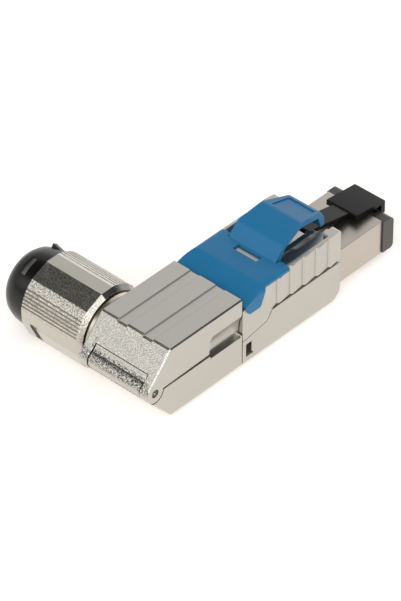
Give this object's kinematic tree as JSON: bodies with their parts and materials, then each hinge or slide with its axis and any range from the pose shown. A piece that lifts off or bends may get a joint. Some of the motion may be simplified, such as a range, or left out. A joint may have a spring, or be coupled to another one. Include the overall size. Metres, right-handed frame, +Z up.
{
  "type": "ethernet connector",
  "caption": "Field-wired shielded modular network plug: hinged metal rear housing, sprung lever over the latch, and a cable gland that leaves it sideways.",
  "frame": {"origin": "centre of the nose's front face, on the plug's own axis", "axes": "+X out of the nose, the way it goes into a jack; +Y out of the cable gland; +Z up, latch side"},
  "size_m": [0.058, 0.0332, 0.0168],
  "materials": {
    "die_cast": "satin nickel plating on die-cast zinc",
    "nut_metal": "grained nickel plating",
    "gland_metal": "turned brass with nickel plating",
    "sheet_steel": "drawn sheet, fine brushing along the plug",
    "black_plastic": "black moulded polyamide",
    "blue_plastic": "mid blue moulded plastic, soft gloss",
    "white_plastic": "natural moulded plastic",
    "board": "green solder mask on glass laminate",
    "gold": "gold plating",
    "terminal_metal": "tin plated bronze",
    "collet_metal": "nickel plated spring bronze",
    "seal_rubber": "black rubber"
  },
  "bodies": {
    "housing": {"contact_carrier": "black_plastic", "contact_1": "gold", "contact_2": "gold", "contact_3": "gold", "contact_4": "gold", "contact_5": "gold", "contact_6": "gold", "contact_7": "gold", "contact_8": "gold", "nose_shield": "sheet_steel", "front_lower_shell": "die_cast", "front_upper_shell": "die_cast", "circuit_board": "board", "terminal_1": "terminal_metal", "terminal_2": "terminal_metal", "terminal_3": "terminal_metal", "terminal_4": "terminal_metal", "terminal_5": "terminal_metal", "terminal_6": "terminal_metal", "terminal_7": "terminal_metal", "terminal_8": "terminal_metal", "terminal_block": "white_plastic", "wire_manager": "white_plastic", "rear_lower_shell": "die_cast", "hinge_pin": "sheet_steel", "gland_body": "gland_metal", "clamp_collet": "collet_metal", "release_clip": "blue_plastic", "return_spring": "sheet_steel"},
    "lid": {"rear_upper_shell": "die_cast"},
    "latch": {"latch_lever": "black_plastic"},
    "lever": {"release_lever": "blue_plastic"},
    "slide": {"slip_ring": "white_plastic", "cable_seal": "seal_rubber"},
    "nut": {"gland_nut": "nut_metal", "end_cap": "black_plastic", "cap_lug_1": "sheet_steel", "cap_lug_2": "sheet_steel"}
  },
  "joints": [
    {"name": "lid_hinge", "type": "hinge", "parent": "housing", "child": "lid", "pos_m": [-0.0552, 0, 0.00228], "axis": [0, -1, 0], "range_deg": [0, 100]},
    {"name": "lever_press", "type": "hinge", "parent": "housing", "child": "lever", "pos_m": [-0.0261, 0, 0.00817], "axis": [0, 1, 0], "range_deg": [0, 11], "stiffness_Nm_per_rad": 0.3},
    {"name": "latch_press", "type": "hinge", "parent": "housing", "child": "latch", "pos_m": [-0.0011, 0, 0.00228], "axis": [0, -1, 0], "range_deg": [0, 6.5]},
    {"name": "gland_travel", "type": "slide", "parent": "housing", "child": "slide", "axis": [0, 1, 0], "range_m": [0, 0.003]},
    {"name": "nut_turn", "type": "hinge", "parent": "slide", "child": "nut", "pos_m": [-0.04865, 0, 0.00228], "axis": [0, 1, 0], "range_deg": [0, 1080]}
  ],
  "couplings": [
    {"joint": "latch_press", "follows": "lever_press", "ratio": 0.573},
    {"joint": "nut_turn", "follows": "gland_travel", "rad_per_m": 6283.2}
  ]
}
